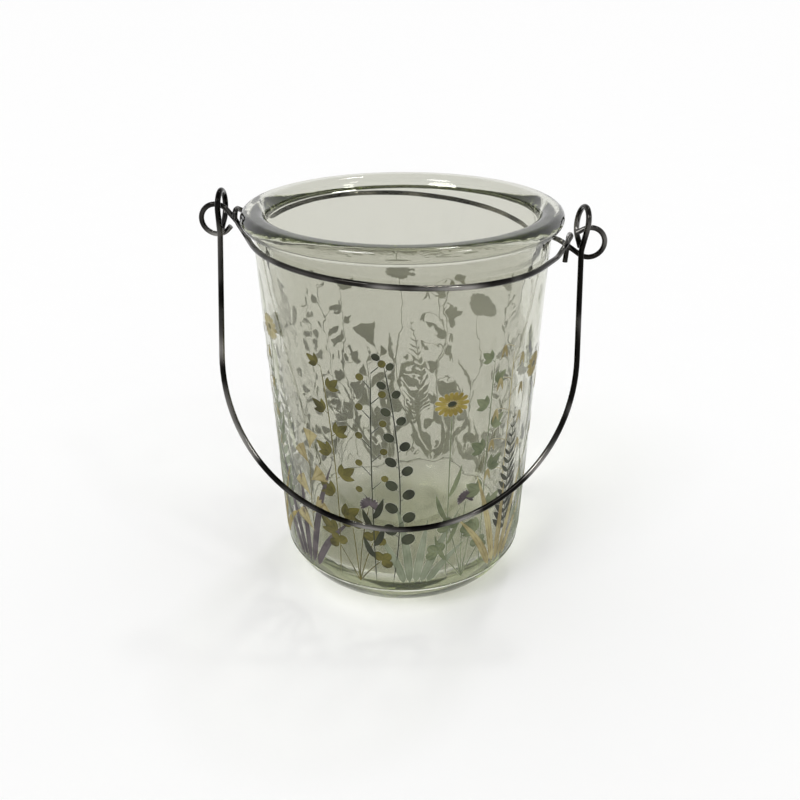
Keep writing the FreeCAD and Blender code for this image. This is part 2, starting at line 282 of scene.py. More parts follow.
def new_material(name: str) -> tuple[Material, Nodes, Node, Node]:
    """An empty material with a Principled shader on its output.

    Args:
        name: name of the finish.
    Returns:
        The material, its nodes, the shader and the output.
    """
    material = bpy.data.materials.new(name)
    material.use_nodes = True
    material.node_tree.nodes.clear()
    nodes = Nodes(material.node_tree)
    shader = nodes.add("ShaderNodeBsdfPrincipled")
    output = nodes.add("ShaderNodeOutputMaterial", {"Surface": shader.outputs[0]})
    return material, nodes, shader, output


def new_group(name: str, inputs: dict[str, object], outputs: dict[str, str]) -> tuple[Nodes, Node, Node]:
    """An empty shader node group.

    Args:
        name: name of the effect.
        inputs: for each input its first value, a number or a colour.
        outputs: for each output its socket type.
    Returns:
        The group's nodes, its input node and its output node.
    """
    tree = bpy.data.node_groups.new(name, "ShaderNodeTree")
    for label, value in inputs.items():
        kind = "NodeSocketFloat" if isinstance(value, float) else "NodeSocketColor"
        tree.interface.new_socket(label, in_out="INPUT", socket_type=kind).default_value = value
    for label, kind in outputs.items():
        tree.interface.new_socket(label, in_out="OUTPUT", socket_type=kind)
    nodes = Nodes(tree)
    return nodes, nodes.add("NodeGroupInput"), nodes.add("NodeGroupOutput")


# Finishes

@dataclass(frozen=True)
class GlassWithPaintedShade:
    """Pressed glass with an olive body colour that shows where the glass is deep, under a grey base colour
    that is painted shade.
    """

    # Painted shade: this grey base colour darkens all the glass evenly, as dim surroundings would.
    painted_shade_tint: Colour = (0.70, 0.695, 0.64)
    tint: Colour = (0.53, 0.57, 0.33)
    density: float = 27.0
    ior: float = 1.5
    shadow_tint: Colour = (0.96, 0.965, 0.95)
    dull_scale: float = 55.0
    dull_span: Pair = (0.45, 0.75)
    dullest: float = 0.035
    skin_scale: float = 230.0
    skin_detail: float = 1.5
    skin_strength: float = 0.5
    skin_depth: float = 0.00016

    def material(self) -> Material:
        """Glass whose polish and skin vary a little, with light let through to its own shadow.

        Returns:
            The material.
        """
        material, nodes, shader, output = new_material("pressed_glass_painted_shade")
        dull = nodes.ramp(nodes.noise(self.dull_scale), 0.0, self.dullest, *self.dull_span)
        waviness = nodes.noise(self.skin_scale, self.skin_detail)
        skin = nodes.add("ShaderNodeBump", {"Height": waviness, "Strength": self.skin_strength,
                                            "Distance": self.skin_depth})
        # The base colour is painted shade.
        nodes.feed(shader, {"Base Color": opaque(self.painted_shade_tint), "Transmission Weight": 1.0, "IOR": self.ior,
                            "Roughness": dull, "Normal": skin.outputs[0]})
        clear = nodes.add("ShaderNodeBsdfTransparent", {"Color": opaque(self.shadow_tint)})
        shadow = nodes.add("ShaderNodeLightPath").outputs["Is Shadow Ray"]
        surface = nodes.add("ShaderNodeMixShader", {0: shadow, 1: shader.outputs[0], 2: clear.outputs[0]})
        body = nodes.add("ShaderNodeVolumeAbsorption", {"Color": opaque(self.tint), "Density": self.density})
        nodes.feed(output, {"Surface": surface.outputs[0], "Volume": body.outputs[0]})
        return material


@dataclass(frozen=True)
class PaintedRidgeHighlight:
    """A painted highlight on glass: a pale film whose cover is patchy."""

    # Painted highlight: the film's pale colour stands in for light caught by the ridge.
    tone: Colour = (0.90, 0.90, 0.85)
    shaded: float = 0.85
    faint: float = 0.5
    strong: float = 1.0
    patch_scale: float = 160.0
    patch_detail: float = 3.0
    patch_span: Pair = (0.35, 0.6)
    fleck_scale: float = 900.0
    roughness: float = 0.5

    def material(self) -> Material:
        """A thin pale film whose cover changes along it.

        Returns:
            The material.
        """
        material, nodes, shader, _ = new_material("painted_ridge_highlight")
        patches = nodes.noise(self.patch_scale, self.patch_detail)
        cover = nodes.ramp(patches, self.faint, self.strong, *self.patch_span)
        dim = tuple(self.shaded * part for part in self.tone)
        shade = nodes.mix(nodes.noise(self.fleck_scale), opaque(self.tone), opaque(dim))
        # The pale film is a painted highlight.
        nodes.feed(shader, {"Base Color": shade, "Alpha": cover, "Roughness": self.roughness})
        return material


@dataclass(frozen=True)
class WirePaintedGlintsAndWear:
    """Drawn wire: painted glints in stretches among painted dark reflection, fine rubbing and a drawn grain.
    """

    stretch_scale: float = 75.0
    stretch_detail: float = 1.0
    stretch_span: Pair = (0.26, 0.56)
    rub_scale: float = 900.0
    rub_detail: float = 3.0
    rub_span: Pair = (0.4, 0.7)
    grain_scale: float = 2400.0

    def group(self) -> Tree:
        """Soft noise mixes the painted glint colour into the painted dark reflection colour, and fine noise
        carries the polish to the rubbed finish.

        Returns:
            The node group, with Color, Roughness and Height.
        """
        nodes, given, out = new_group(
            "wire_painted_glints_and_wear",
            {"Bright": grey(0.5), "Tarnish": grey(0.1), "Polish": 0.1, "Rubbed": 0.3},
            {"Color": "NodeSocketColor", "Roughness": "NodeSocketFloat", "Height": "NodeSocketFloat"})
        bright, tarnish, polish, rubbed = (given.outputs[name] for name in
                                           ("Bright", "Tarnish", "Polish", "Rubbed"))
        # Painted reflection: noise splits the wire into stretches of painted glint and of painted dark
        # reflection.
        dark = nodes.ramp(nodes.noise(self.stretch_scale, self.stretch_detail), 0.0, 1.0, *self.stretch_span)
        rub = nodes.ramp(nodes.noise(self.rub_scale, self.rub_detail), 0.0, 1.0, *self.rub_span)
        span = nodes.math("SUBTRACT", rubbed, polish)
        rough = nodes.math("ADD", polish, nodes.math("MULTIPLY", rub, span))
        nodes.feed(out, {"Color": nodes.mix(dark, bright, tarnish), "Roughness": rough,
                         "Height": nodes.noise(self.grain_scale)})
        return nodes.tree


@dataclass(frozen=True)
class WireWithPaintedReflections:
    """Plated steel wire, painted dark as if it reflected dark surroundings, with painted glints along it."""

    name: str
    bright: Colour
    tarnish: Colour
    polish: float = 0.04
    rubbed: float = 0.14
    grain_strength: float = 0.2
    grain_depth: float = 0.00003

    def material(self, glints_and_wear: Tree) -> Material:
        """The wire's metal.

        Args:
            glints_and_wear: the group for painted glints and dark reflection, rubbing and grain.
        Returns:
            The material.
        """
        material, nodes, shader, _ = new_material(self.name)
        painted_glints_node = nodes.add("ShaderNodeGroup", node_tree=glints_and_wear)
        nodes.feed(painted_glints_node, {"Bright": opaque(self.bright), "Tarnish": opaque(self.tarnish),
                          "Polish": self.polish, "Rubbed": self.rubbed})
        grain = nodes.add("ShaderNodeBump", {"Height": painted_glints_node.outputs["Height"],
                                             "Strength": self.grain_strength,
                                             "Distance": self.grain_depth})
        nodes.feed(shader, {"Metallic": 1.0, "Base Color": painted_glints_node.outputs["Color"],
                            "Roughness": painted_glints_node.outputs["Roughness"], "Normal": grain.outputs[0]})
        return material


class Plating(Enum):
    """The plated finish of the neck wire's halves, and the darker one of the bail. Both colours of each are
    painted: a glint and a dark reflection.
    """

    # Each holds a painted glint colour, then a painted dark reflection colour.
    NECK = WireWithPaintedReflections("neck_wire_painted_glints", (0.34, 0.33, 0.31), (0.016, 0.015, 0.0135))
    BAIL = WireWithPaintedReflections("bail_wire_painted_glints", (0.26, 0.25, 0.235), (0.009, 0.0085, 0.0077))


@dataclass(frozen=True)
class Watercolour:
    """Printed watercolour: pigment gathers at the edges, in the ribs and in soft clouds."""

    edge_share: float = 0.35
    edge_start: float = 0.55
    midrib_share: float = 0.5
    midrib_span: Pair = (0.02, 0.14)
    rib_share: float = 0.35
    rib_start: float = 0.8
    rib_turns: float = 50.0
    rib_lean: float = 7.0
    cloud_scale: float = 260.0
    cloud_detail: float = 3.0
    cloud_share: float = 0.7
    cloud_span: Pair = (0.3, 0.75)
    tone_share: float = 0.4
    paler: float = 0.15
    gloss_scale: float = 700.0
    smoothest: float = 0.35
    roughest: float = 0.6

    def group(self) -> Tree:
        """The share of the deep colour over a stroke.

        It is a cloud of noise, plus the edge, where the distance across the stroke nears one, plus a
        midrib at the middle of the stroke and ribs that lean towards its tip, plus the stroke's own tone.

        Returns:
            The node group, with Color and Roughness.
        """
        nodes, given, out = new_group(
            "watercolour",
            {"Pale": grey(0.5), "Deep": grey(0.1), "Ribs": 0.5},
            {"Color": "NodeSocketColor", "Roughness": "NodeSocketFloat"})
        stroke = nodes.add("ShaderNodeSeparateXYZ", {0: nodes.add("ShaderNodeUVMap").outputs[0]}).outputs
        across = nodes.math("SUBTRACT", nodes.math("MULTIPLY", stroke["Y"], 2.0), 1.0)
        aside = nodes.math("ABSOLUTE", across)
        edge = nodes.ramp(aside, 0.0, self.edge_share, self.edge_start, 1.0)
        midrib = nodes.ramp(aside, self.midrib_share, 0.0, *self.midrib_span)
        wave = nodes.math("SUBTRACT", nodes.math("MULTIPLY", stroke["X"], self.rib_turns),
                          nodes.math("MULTIPLY", aside, self.rib_lean))
        ribs = nodes.ramp(nodes.math("SINE", wave), 0.0, self.rib_share, self.rib_start, 1.0)
        drawn = nodes.math("MULTIPLY", nodes.math("ADD", midrib, ribs), given.outputs["Ribs"])
        clouds = nodes.noise(self.cloud_scale, self.cloud_detail)
        cloud = nodes.ramp(clouds, 0.0, self.cloud_share, *self.cloud_span)
        own = nodes.add("ShaderNodeAttribute", attribute_name="tone").outputs["Fac"]
        tone = nodes.math("MULTIPLY", own, self.tone_share)
        share = nodes.math("ADD", nodes.math("ADD", nodes.math("ADD", cloud, edge), drawn), tone)
        share = nodes.math("MINIMUM", nodes.math("SUBTRACT", share, self.paler), 1.0)
        share = nodes.math("MAXIMUM", share, 0.0)
        colour = nodes.mix(share, given.outputs["Pale"], given.outputs["Deep"])
        rough = nodes.ramp(nodes.noise(self.gloss_scale), self.smoothest, self.roughest)
        nodes.feed(out, {"Color": colour, "Roughness": rough})
        return nodes.tree


@dataclass(frozen=True)
class InkFinish:
    """Two strengths of one printed colour, how strongly ribs are drawn in it, and how well it covers."""

    pale: Colour
    deep: Colour
    ribs: float
    cover: float
    gloss: float = 0.25

    def material(self, name: str, brush: Tree) -> Material:
        """The fired print of one colour.

        Args:
            name: name of the colour.
            brush: the watercolour group.
        Returns:
            The material.
        """
        material, nodes, shader, _ = new_material(f"print_{name}")
        painted = nodes.add("ShaderNodeGroup", node_tree=brush)
        nodes.feed(painted, {"Pale": opaque(self.pale), "Deep": opaque(self.deep), "Ribs": self.ribs})
        nodes.feed(shader, {"Base Color": painted.outputs["Color"], "Roughness": painted.outputs["Roughness"],
                            "Alpha": self.cover, "Specular IOR Level": self.gloss})
        return material


class Ink(Enum):
    """The colours of the print. The underlay is the pale coat that the others are printed on."""

    SAGE = InkFinish(linear(130, 138, 104), linear(78, 88, 60), 0.6, 0.85)
    OLIVE = InkFinish(linear(108, 102, 48), linear(54, 52, 18), 0.5, 0.95)
    PINE = InkFinish(linear(60, 64, 46), linear(26, 29, 20), 0.4, 1.0)
    MAUVE = InkFinish(linear(94, 86, 88), linear(54, 47, 51), 0.4, 0.95)
    OCHRE = InkFinish(linear(162, 146, 70), linear(108, 92, 30), 0.6, 0.9)
    SAND = InkFinish(linear(182, 172, 126), linear(122, 108, 62), 0.9, 0.88)
    MIST = InkFinish(linear(146, 154, 130), linear(106, 116, 90), 0.3, 0.75)
    UNDERLAY = InkFinish(linear(232, 232, 222), linear(218, 218, 206), 0.0, 0.8)


# Glass jar

@dataclass(frozen=True)
class Wave:
    """One low wave in the hollow's wall: its size, lobes round the axis, rise and start."""

    size: float
    lobes: int
    rise: float
    start: float

    def at(self, angle: np.ndarray, height: np.ndarray) -> np.ndarray:
        """Its size times the sine of lobes times angle, plus rise times height, plus start."""
        return self.size * np.sin(self.lobes * angle + self.rise * height + self.start)


@dataclass
class GlassJar:
    """The jar: one profile turned about the Z axis, with the sizes of its solid."""

    height: float = 0.110
    neck_radius: float = 0.0394
    base_radius: float = 0.036
    wall: float = 0.004
    rim_height: float = 0.0044
    rim_ledge: float = 0.00068
    lip_radius: float = 0.003
    floor: float = 0.009
    floor_corner: float = 0.008
    heel_radius: float = 0.0145
    foot_width: float = 0.0032
    punt_depth: float = 0.0012
    ledge_fillet: float = 0.0004
    ridge_height: float = 0.0103
    ridge_half: float = 0.00034
    ridge_proud: float = 0.00024
    waver: float = 0.0001
    waves: tuple[Wave, ...] = (Wave(1.0, 9, 90.0, 0.0), Wave(0.7, 16, -210.0, 1.0),
                               Wave(0.4, 29, 260.0, 2.0), Wave(0.5, 5, -430.0, 0.0))
    sectors: int = 264
    punt_points: int = 8
    foot_points: int = 3
    heel_points: int = 70
    ridge_points: int = 19
    outer_points: int = 22
    fillet_points: int = 6
    bead_points: int = 30
    round_points: int = 18
    inner_points: int = 56
    floor_points: int = 10

    @property
    def shoulder(self) -> float:
        """Height of the ledge under the rim."""
        return self.height - self.rim_height

    @property
    def lean(self) -> float:
        """Angle of the wall from upright."""
        return math.atan((self.neck_radius - self.base_radius) / self.shoulder)

    @property
    def heel_centre(self) -> float:
        """Distance of the middle of the heel's round from the axis."""
        return self.offset_radius(self.heel_radius, self.heel_radius)

    @property
    def ridge_angle(self) -> float:
        """Place of the mould ridge on the heel's round."""
        return math.asin(self.ridge_height / self.heel_radius - 1)

    def offset_radius(self, height: float, inward: float) -> float:
        """Distance from the axis, at a height, of a line that lies inward of the wall's face."""
        return self.base_radius + (height * math.sin(self.lean) - inward) / math.cos(self.lean)

    def skin_radius(self, height: np.ndarray) -> np.ndarray:
        """Outside of the glass at each height.

        Args:
            height: heights from the foot up to the shoulder.
        Returns:
            The straight wall above the heel's round, and the round below it.
        """
        wall = self.base_radius + np.tan(self.lean) * height
        below = np.clip(self.heel_radius - height, 0, self.heel_radius)
        heel = self.heel_centre + np.sqrt(self.heel_radius ** 2 - below ** 2)
        return np.where(height < self.heel_radius * (1 - math.sin(self.lean)), heel, wall)

    def heel(self) -> np.ndarray:
        """Profile of the heel: a round, with the mould ridge standing on it as a half ellipse.

        Returns:
            Rows of distance and height, closer together on the ridge.
        """
        half = self.ridge_half / self.heel_radius
        close = self.ridge_angle + half * np.sin(np.linspace(-QUARTER, QUARTER, self.ridge_points))
        angles = np.union1d(np.linspace(-QUARTER, -self.lean, self.heel_points), close)
        aside = (angles - self.ridge_angle) / half
        ridge = np.sqrt(np.clip(1 - aside ** 2, 0, 1)) * self.ridge_proud
        radius = (self.heel_radius + ridge)[:, None]
        middle = (self.heel_centre, self.heel_radius)
        return middle + radius * np.stack([np.cos(angles), np.sin(angles)], axis=1)

    def outside(self) -> np.ndarray:
        """Profile of the outside, from the foot up to the top of the rim.

        Returns:
            Rows of distance and height: foot, heel with its mould ridge, wall, ledge and bead.
        """
        foot = self.heel_centre - self.foot_width
        bead = self.rim_height / 2
        fillet = self.ledge_fillet
        corner = (self.offset_radius(self.shoulder - fillet, -fillet), self.shoulder - fillet)
        bead_centre = (self.neck_radius + self.rim_ledge, self.shoulder + bead)
        punt = run((0, self.punt_depth), (foot, 0), self.punt_points)
        ring = run((foot, 0), (self.heel_centre, 0), self.foot_points)
        heel = self.heel()
        rise = run(tuple(heel[-1]), (corner[0] - fillet, corner[1]), self.outer_points)
        ledge = arc(corner, fillet, math.pi - self.lean, QUARTER, self.fillet_points)
        rim = arc(bead_centre, bead, -QUARTER, QUARTER, self.bead_points)
        return np.concatenate([punt, [[foot, 0]], ring, heel, rise, ledge, rim])

    def inside(self) -> tuple[np.ndarray, np.ndarray]:
        """Profile of the mouth and the hollow, from the top of the rim down to the floor.

        Returns:
            Rows of distance and height, and how far each row takes part in the wall's waver.
        """
        lip_level = self.height - self.lip_radius
        lip_centre = (self.offset_radius(lip_level, self.wall - self.lip_radius), lip_level)
        lip = arc(lip_centre, self.lip_radius, QUARTER, math.pi - self.lean, self.round_points)
        corner_level = self.floor + self.floor_corner
        corner_centre = (self.offset_radius(corner_level, self.wall + self.floor_corner), corner_level)
        corner = arc(corner_centre, self.floor_corner, -self.lean, -QUARTER, self.round_points)
        wall = run(tuple(lip[-1]), tuple(corner[0]), self.inner_points)
        part = np.sin(np.pi * np.linspace(0, 1, len(wall))) ** 0.5
        floor = run(tuple(corner[-1]), (0, self.floor), self.floor_points)
        share = np.concatenate([np.zeros(len(lip)), part, np.zeros(len(corner) + len(floor))])
        return np.concatenate([lip, wall, corner, floor]), share

    def build(self, glass: Material) -> Object:
        """Turns the profile about the axis.

        A point is (distance times cosine, distance times sine, height) of its angle round the axis.
        The hollow's wall is pushed in and out by a few low waves of angle and height.

        Args:
            glass: the finish.
        Returns:
            The jar.
        """
        hollow, share = self.inside()
        profile = np.concatenate([self.outside(), hollow])
        part = np.concatenate([np.zeros(len(profile) - len(share)), share])[:, None]
        angle = full_turn(self.sectors)[None]
        distance, height = profile[:, :1], profile[:, 1:]
        waves = sum(wave.at(angle, height) for wave in self.waves)
        rows = turned(distance + self.waver * part * waves, height, angle)
        jar = make_object("glass_jar_turned", *lathe(rows, self.punt_depth, self.floor), glass)
        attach(jar, "jar")
        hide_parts("glass_jar")
        return jar


@dataclass
class RidgeHighlightBand:
    """A painted highlight on the crest of the mould ridge: a narrow band round the heel."""

    jar: GlassJar
    half_width: float = 0.00025
    lift: float = 0.00001
    rings: int = 7

    def build(self, film: Material) -> Object:
        """Lays the band on the ridge.

        A point is the ridge's half ellipse, a little larger, carried round the axis.

        Args:
            film: the finish.
        Returns:
            The band.
        """
        jar = self.jar
        across = np.linspace(-1, 1, self.rings)[:, None] * self.half_width
        slope = jar.ridge_angle + across / jar.heel_radius
        proud = jar.ridge_proud * np.sqrt(1 - (across / jar.ridge_half) ** 2) + self.lift
        reach = jar.heel_radius + proud
        distance = jar.heel_centre + reach * np.cos(slope)
        height = jar.heel_radius + reach * np.sin(slope)
        rows = turned(distance, height, full_turn(jar.sectors)[None])
        faces = ring_faces(self.rings, jar.sectors)
        band = make_object("heel_ridge_painted_highlight", rows.reshape(-1, 3), faces.tolist(), film)
        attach(band, "jar")
        return band


# Printed meadow

class Outline(Enum):
    """Outlines of brush strokes: powers of the way from the base and of the way to the tip."""

    STEM = (0.02, 0.10)
    BLADE = (0.35, 0.90)
    LEAF = (0.70, 0.95)
    COIN = (0.50, 0.50)
    PETAL = (1.00, 0.35)
    HUSK = (0.45, 0.90)
    FAN = (1.50, 0.12)


PATCH = np.dtype([(name, float) for name in
                  ("s", "h", "angle", "length", "half_width", "bend", "base_power", "tip_power")])


def strokes(outline: Outline, places: Places, turn: object, length: object, half_width: object,
            bend: object = 0.0) -> Patches:
    """Brush strokes on the unrolled wall, in millimetres.

    Args:
        outline: their outline.
        places: way round the wall, height and heading where each starts. A heading is in radians from
            the way round the wall.
        turn: how far each turns aside from that heading, in radians.
        length: length of each.
        half_width: half the greatest width of each.
        bend: sideways reach of each tip, as a share of its length.
    Returns:
        One record for each stroke.
    """
    s, h, heading = places
    values = (s, h, heading + turn, length, half_width, bend, *outline.value)
    columns = np.broadcast_arrays(*(np.atleast_1d(value).astype(float) for value in values))
    rows = np.zeros(len(columns[0]), PATCH)
    for name, column in zip(PATCH.names, columns):
        rows[name] = column
    return rows


def along(stem: Patches, share: object) -> Places:
    """Places on the middle line of strokes, which bends aside with the square of the way along it.

    Args:
        stem: the strokes.
        share: ways along them, 0 to 1.
    Returns:
        The way round, the height and the heading at each place.
    """
    ahead = stem["length"] * share
    aside = stem["bend"] * stem["length"] * share ** 2
    turn = stem["angle"]
    s = stem["s"] + ahead * np.cos(turn) - aside * np.sin(turn)
    h = stem["h"] + ahead * np.sin(turn) + aside * np.cos(turn)
    return s, h, turn + np.arctan(2 * stem["bend"] * share)


def in_turn(count: int) -> np.ndarray:
    """The sides of leaves that stand left and right in turn."""
    return np.where(np.arange(count) % 2 == 0, 1.0, -1.0)


def in_pairs(first: float, last: float, count: int) -> tuple[np.ndarray, np.ndarray]:
    """The ways along a stem, and the sides, of leaves that stand in pairs."""
    return np.tile(np.linspace(first, last, count), 2), np.repeat([1.0, -1.0], count)


Drawing = list[tuple[Ink, Patches]]


@dataclass(frozen=True)
class Spot:
    """Where a plant grows on the unrolled wall, in millimetres, how tall it is and its main ink."""

    root: float
    foot: float
    height: float
    lean: float
    ink: Ink


@dataclass
class Plants:
    """Generic meadow plants. Each takes its spot and gives back its brush strokes with their inks."""

    stem_width: float = 0.19
    stalk_width: float = 0.1
    blade_width: float = 1.2
    tuft_reach: float = 9.0

    def stem(self, spot: Spot, bend: float) -> Patches:
        """One thin stem at a spot, with the sideways reach of its tip as a share of its height."""
        base = (spot.root, spot.foot, QUARTER + spot.lean)
        return strokes(Outline.STEM, base, 0.0, spot.height, self.stem_width, bend)

    def fern(self, spot: Spot) -> Drawing:
        """A frond: leaflets in pairs that grow shorter towards the tip.

        Args:
            spot: where it grows.
        Returns:
            Its strokes.
        """
        stem = self.stem(spot, bend=-0.9 * spot.lean)
        share, side = in_pairs(first=0.2, last=0.98, count=15)
        length = 0.19 * spot.height * (1.02 - share) ** 0.8
        leaflets = strokes(Outline.LEAF, along(stem, share), turn=0.9 * side, length=length,
                           half_width=0.13 * length, bend=-0.15 * side)
        return [(spot.ink, stem), (spot.ink, leaflets)]

    def coin_branch(self, spot: Spot) -> Drawing:
        """A branch with round leaves in pairs.

        Args:
            spot: where it grows.
        Returns:
            Its strokes.
        """
        stem = self.stem(spot, bend=-1.2 * spot.lean)
        share, side = in_pairs(first=0.22, last=0.97, count=8)
        length = 4.8 - 2.6 * share
        stalks = strokes(Outline.STEM, along(stem, share + 0.02 * side), turn=0.8 * side,
                         length=1.6 - 0.8 * share, half_width=self.stalk_width)
        coins = strokes(Outline.COIN, along(stalks, 1.0), turn=0.0, length=length, half_width=0.4 * length)
        return [(spot.ink, stem), (spot.ink, stalks), (spot.ink, coins)]

    def daisy(self, spot: Spot) -> Drawing:
        """A daisy: a ring of petals round a disc, and slim leaves low on the stem.

        Args:
            spot: where it grows.
        Returns:
            Its strokes.
        """
        stem = self.stem(spot, bend=-0.8 * spot.lean)
        s, h, _ = along(stem, 1.0)
        turn = full_turn(15)
        ring = (s + 0.8 * np.cos(turn), h + 0.5 * np.sin(turn), turn)
        petals = strokes(Outline.PETAL, ring, turn=0.0, length=2.9 + np.cos(turn) ** 2, half_width=0.6)
        disc = strokes(Outline.COIN, (s - 1.2, h, 0.0), turn=0.0, length=2.4, half_width=0.9)
        side = in_turn(4)
        leaves = strokes(Outline.LEAF, along(stem, np.array([0.12, 0.22, 0.36, 0.5])), turn=0.55 * side,
                         length=0.18 * spot.height, half_width=0.75, bend=-0.2 * side)
        seed = Ink.OLIVE if spot.ink is not Ink.OCHRE else Ink.PINE
        return [(Ink.SAGE, stem), (Ink.SAGE, leaves), (spot.ink, petals), (seed, disc)]

    def clover(self, spot: Spot) -> Drawing:
        """Clover: three round leaflets on each of four stalks, and one round blossom.

        Args:
            spot: where it grows.
        Returns:
            Its strokes.
        """
        leans = spot.lean + np.array([0.42, 0.1, -0.2, -0.5])
        tall = spot.height * np.array([0.62, 0.9, 0.75, 0.5])
        drawing: Drawing = []
        for one_lean, one_tall in zip(leans, tall):
            stalk = self.stem(replace(spot, height=one_tall, lean=one_lean), bend=0.25 * one_lean)
            leaflets = strokes(Outline.COIN, along(stalk, 1.0), turn=np.array([-1.35, 0.0, 1.35]),
                               length=3.5, half_width=1.5)
            drawing += [(spot.ink, stalk), (spot.ink, leaflets)]
        stalk = self.stem(replace(spot, height=1.25 * spot.height), bend=-0.1)
        s, h, _ = along(stalk, 1.0)
        outer, inner = 13, 8
        turn = np.concatenate([np.linspace(-0.5, 3.6, outer), np.linspace(0.0, 3.1, inner)])
        reach = np.repeat([2.8, 1.8], [outer, inner])
        bloom = strokes(Outline.PETAL, (s, h, turn), turn=0.0, length=reach, half_width=0.36)
        return drawing + [(spot.ink, stalk), (Ink.MAUVE, bloom)]

    def oat(self, spot: Spot) -> Drawing:
        """Oat grass: husks that hang in pairs from thin side branches, with a tuft at the foot.

        Args:
            spot: where it grows.
        Returns:
            Its strokes.
        """
        stem = self.stem(spot, bend=-0.7 * spot.lean)
        count = 9
        share = np.linspace(0.46, 1.0, count)
        side = in_turn(count)
        branches = strokes(Outline.STEM, along(stem, share), turn=0.85 * side, length=9.5 - 5.5 * share,
                           half_width=0.09, bend=0.3 * side)
        s, h, _ = along(np.repeat(branches, 2), 1.0)
        husks = strokes(Outline.HUSK, (s, h, -QUARTER), turn=np.tile([-0.28, 0.28], count), length=3.9,
                        half_width=0.5)
        tuft = self.tuft(replace(spot, height=0.5 * spot.height, lean=0.5 * spot.lean))
        return [(spot.ink, stem), (spot.ink, branches), (spot.ink, husks)] + tuft

    def ivy(self, spot: Spot) -> Drawing:
        """A climbing sprig: leaves of three lobes, left and right in turn on short stalks.

        Args:
            spot: where it grows.
        Returns:
            Its strokes.
        """
        stem = self.stem(spot, bend=-1.4 * spot.lean)
        count, lobes = 9, 3
        share = np.linspace(0.2, 0.98, count)
        stalks = strokes(Outline.STEM, along(stem, share), turn=0.9 * in_turn(count), length=2.2 - share,
                         half_width=self.stalk_width)
        length = np.repeat(7.2 - 3.4 * share, lobes) * np.tile([0.75, 1.0, 0.75], count)
        leaves = strokes(Outline.LEAF, along(np.repeat(stalks, lobes), 1.0),
                         turn=np.tile([-0.75, 0.0, 0.75], count), length=length, half_width=0.25 * length)
        return [(spot.ink, stem), (spot.ink, stalks), (spot.ink, leaves)]

    def tuft(self, spot: Spot) -> Drawing:
        """A tuft of bent grass blades.

        Args:
            spot: where it grows.
        Returns:
            Its strokes.
        """
        spread = np.array([-0.34, -0.16, 0.02, 0.2, 0.4])
        tall = spot.height * np.array([0.7, 1.0, 0.8, 0.95, 0.6])
        base = (spot.root + self.tuft_reach * spread, spot.foot, QUARTER - spread)
        blades = strokes(Outline.BLADE, base, turn=spot.lean, length=tall, half_width=self.blade_width,
                         bend=-0.6 * spread)
        return [(spot.ink, blades)]

    def berries(self, spot: Spot) -> Drawing:
        """A berry sprig: round berries on short stalks, and narrow leaves below them.

        Args:
            spot: where it grows.
        Returns:
            Its strokes.
        """
        stem = self.stem(spot, bend=-spot.lean)
        count = 10
        share = np.linspace(0.42, 1.0, count)
        stalks = strokes(Outline.STEM, along(stem, share), turn=0.75 * in_turn(count),
                         length=5.2 - 2.4 * share, half_width=0.13)
        fruit = strokes(Outline.COIN, along(stalks, 1.0), turn=0.0, length=2.1, half_width=1.0)
        side = in_turn(4)
        leaves = strokes(Outline.LEAF, along(stem, np.array([0.14, 0.2, 0.28, 0.34])), turn=0.6 * side,
                         length=7.5, half_width=0.95, bend=-0.2 * side)
        return [(Ink.PINE, stem), (Ink.PINE, stalks), (Ink.PINE, leaves), (spot.ink, fruit)]

    def ginkgo(self, spot: Spot) -> Drawing:
        """A twig of fan leaves, the last one straight ahead.

        Args:
            spot: where it grows.
        Returns:
            Its strokes.
        """
        stem = self.stem(spot, bend=-1.1 * spot.lean)
        share = np.array([0.3, 0.46, 0.6, 0.74, 0.87, 1.0])
        side = np.append(in_turn(5), 0.0)
        fans = strokes(Outline.FAN, along(stem, share), turn=0.8 * side, length=8.6 - 2.4 * share,
                       half_width=3.5 - share)
        return [(Ink.OLIVE, stem), (spot.ink, fans)]


@dataclass(frozen=True)
class PlantKind:
    """How a plant is drawn, its least and greatest height in millimetres, and its inks in turn."""

    draw: Callable[[Plants, Spot], Drawing]
    low: float
    high: float
    inks: tuple[Ink, ...]


class Plant(Enum):
    """The kinds of plant."""

    FERN = PlantKind(Plants.fern, 44, 66, (Ink.PINE, Ink.SAGE, Ink.MIST))
    COIN_BRANCH = PlantKind(Plants.coin_branch, 60, 74, (Ink.PINE, Ink.OLIVE, Ink.SAGE))
    DAISY = PlantKind(Plants.daisy, 48, 70, (Ink.OCHRE, Ink.MAUVE, Ink.SAND))
    CLOVER = PlantKind(Plants.clover, 20, 30, (Ink.SAGE, Ink.PINE, Ink.OLIVE))
    OAT = PlantKind(Plants.oat, 60, 74, (Ink.SAND, Ink.OLIVE, Ink.OCHRE))
    TUFT = PlantKind(Plants.tuft, 26, 44, (Ink.MIST, Ink.SAGE, Ink.MAUVE))
    BERRIES = PlantKind(Plants.berries, 56, 72, (Ink.MAUVE, Ink.PINE, Ink.OLIVE))
    IVY = PlantKind(Plants.ivy, 52, 70, (Ink.SAGE, Ink.PINE, Ink.OLIVE))
    GINKGO = PlantKind(Plants.ginkgo, 38, 56, (Ink.SAND, Ink.OCHRE, Ink.SAND))


